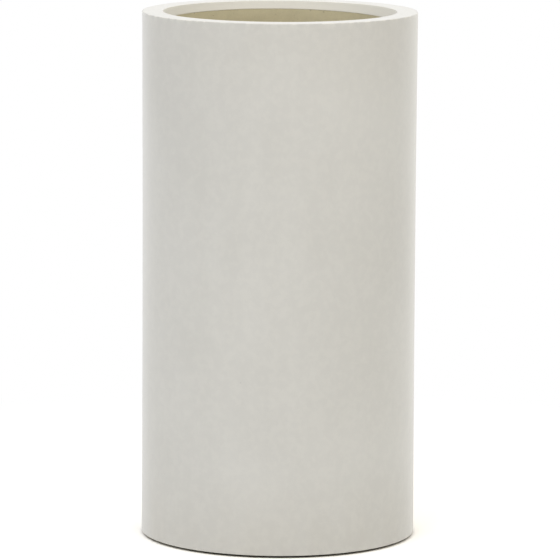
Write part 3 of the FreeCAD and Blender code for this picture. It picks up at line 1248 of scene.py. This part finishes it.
@dataclass
class Studio:
    """A white sweep with soft light from all round, and the camera of the photograph."""

    FIRST_BOUNCE = 1.0
    BOUNCE_MARGIN = 0.5

    footprint: float
    floor_half: float = 40.0
    floor_colour: Colour = (0.61, 0.60, 0.575)
    floor_white: float = 1.92
    # painted shade: share of the floor's colour that the rays which see white get under the planter
    floor_under: float = 0.40
    shade_inset: float = 12.0 * MM
    shade_reach: float = 2.5 * MM
    glow_start: float = 0.15
    glow_full: float = 0.9
    surround: float = 0.795
    lamps: tuple[Softbox, ...] = (
        Softbox("top left softbox", (-1.2, -2.0, 3.1), (0.0, 0.0, 0.55), 1.8, 25.3, (0.97, 1.0, 1.10)),
        Softbox("top right softbox", (1.2, -2.0, 3.1), (0.0, 0.0, 0.55), 1.8, 19.6, (1.12, 1.0, 0.80)),
        Softbox("back left softbox", (-1.4, 2.1, 0.55), (0.0, 0.0, 0.25), 1.0, 9.5, (1.0, 1.0, 1.03)),
        Softbox("back right softbox", (1.4, 2.1, 0.55), (0.0, 0.0, 0.25), 1.0, 13.0, (1.0, 1.0, 0.97)),
        Softbox("low left softbox", (-1.5, -0.4, 0.35), (0.0, 0.0, 0.0), 0.5, 0.085, spread=50.0),
        Softbox("low right softbox", (1.5, -0.3, 0.35), (0.0, 0.0, 0.0), 0.5, 0.055, spread=50.0),
    )
    sensor_width: float = 36.0
    lens: float = 307.4
    distance: float = 6.3008
    eye_height: float = 1.2778
    pitch: float = 8.4626
    yaw: float = 0.0158
    roll: float = 0.2980

    def white_ray(self, sheet: NodeSheet) -> Socket:
        """Tell the rays that see plain white from those that carry light.

        Args:
            sheet: Nodes of the floor or the world.

        Returns:
            A number's socket, 1 for a ray that sees white.
        """
        path = sheet.add("ShaderNodeLightPath").outputs
        seen = path[WhiteRay.CAMERA.value]
        for ray in (WhiteRay.GLOSSY, WhiteRay.TRANSMISSION):
            seen = sheet.math("MAXIMUM", seen, path[ray.value])
        return seen

    def build_floor(self) -> None:
        """Lay the floor under the planter."""
        half = self.floor_half
        mesh = bpy.data.meshes.new("studio_floor")
        corners = [(-half, -half, 0.0), (half, -half, 0.0), (half, half, 0.0), (-half, half, 0.0)]
        mesh.from_pydata(corners, [], [(0, 1, 2, 3)])
        mesh.materials.append(self.floor_material())
        floor = bpy.data.objects.new("studio_floor", mesh)
        bpy.context.scene.collection.objects.link(floor)

    def floor_material(self) -> bpy.types.Material:
        """Make the floor white with the shadow near the planter, with painted shade under its edge for the
        rays that see white, and clear from below.

        Light from below also reaches the planter's underside: the first bounce off it passes the floor.

        Returns:
            The floor's material.
        """
        material = bpy.data.materials.new("studio floor")
        material.use_nodes = True
        sheet = NodeSheet(material.node_tree)
        sheet.tree.nodes.clear()
        place = sheet.add("ShaderNodeTexCoord").outputs["Object"]
        away = sheet.math("SUBTRACT", sheet.flat_length(place), self.footprint)
        # Painted shade under the planter's edge, rising to the white floor just beyond it.
        shaded, bright = -self.shade_inset, self.shade_reach
        whiteness = sheet.ramp(away, shaded, bright, self.floor_under, self.floor_white)
        gain = sheet.math("SUBTRACT", whiteness, 1.0)
        seen = self.white_ray(sheet)
        colour = sheet.scaled(self.floor_colour, sheet.math("MULTIPLY_ADD", seen, gain, 1.0))
        matt = sheet.out("ShaderNodeBsdfDiffuse", {"Color": colour})
        glow = sheet.out("ShaderNodeEmission")
        far = sheet.math("MULTIPLY", seen, sheet.ramp(away, self.glow_start, self.glow_full))
        top = sheet.out("ShaderNodeMixShader", {0: far, 1: matt, 2: glow})
        clear = sheet.out("ShaderNodeBsdfTransparent")
        below = sheet.add("ShaderNodeNewGeometry").outputs["Backfacing"]
        depth = sheet.add("ShaderNodeLightPath").outputs["Ray Depth"]
        first_bounce = sheet.math("COMPARE", depth, self.FIRST_BOUNCE, self.BOUNCE_MARGIN)
        underneath = sheet.math("MULTIPLY", first_bounce, sheet.math("LESS_THAN", away, 0.0))
        see_through = sheet.math("MAXIMUM", below, underneath)
        surface = sheet.out("ShaderNodeMixShader", {0: see_through, 1: top, 2: clear})
        sheet.add("ShaderNodeOutputMaterial", {"Surface": surface})
        return material

    def build_world(self) -> None:
        """Surround the object with an even light that looks white."""
        world = bpy.data.worlds.new("white sweep")
        world.use_nodes = True
        sheet = NodeSheet(world.node_tree)
        sheet.tree.nodes.clear()
        seen = self.white_ray(sheet)
        strength = sheet.math("MULTIPLY_ADD", seen, 1.0 - self.surround, self.surround)
        shade = sheet.out("ShaderNodeBackground", {"Color": (1.0, 1.0, 1.0, 1.0), "Strength": strength})
        sheet.add("ShaderNodeOutputWorld", {"Surface": shade})
        bpy.context.scene.world = world

    def build_camera(self) -> None:
        """Set up the camera: above the rim, with a long lens, looking slightly down."""
        data = bpy.data.cameras.new("camera")
        data.sensor_width = self.sensor_width
        data.lens = self.lens
        camera = bpy.data.objects.new("camera", data)
        aim = Euler((math.pi / 2.0 - math.radians(self.pitch), 0.0, -math.radians(self.yaw)))
        lean = Matrix.Rotation(math.radians(self.roll), 4, "Z")
        place = Matrix.Translation((0.0, -self.distance, self.eye_height))
        camera.matrix_world = place @ aim.to_matrix().to_4x4() @ lean
        bpy.context.scene.collection.objects.link(camera)
        bpy.context.scene.camera = camera

    def build(self) -> None:
        """Set up floor, world, lamps and camera."""
        bpy.context.scene.view_settings.view_transform = "Standard"
        self.build_floor()
        self.build_world()
        for lamp in self.lamps:
            lamp.build()
        self.build_camera()


def main() -> None:
    """Build the planter and the studio."""
    logging.basicConfig(level=logging.INFO, format="%(name)s: %(message)s")
    Studio(footprint=CAD_BOX[1][0]).build()
    workshop = Workshop()
    drain = DrainFitting()
    Vessel.from_frame(drain.wall, drain.flange_thickness).build(workshop)
    drain.build(workshop)
    FootPads().build(workshop)


if __name__ == "__main__":
    main()
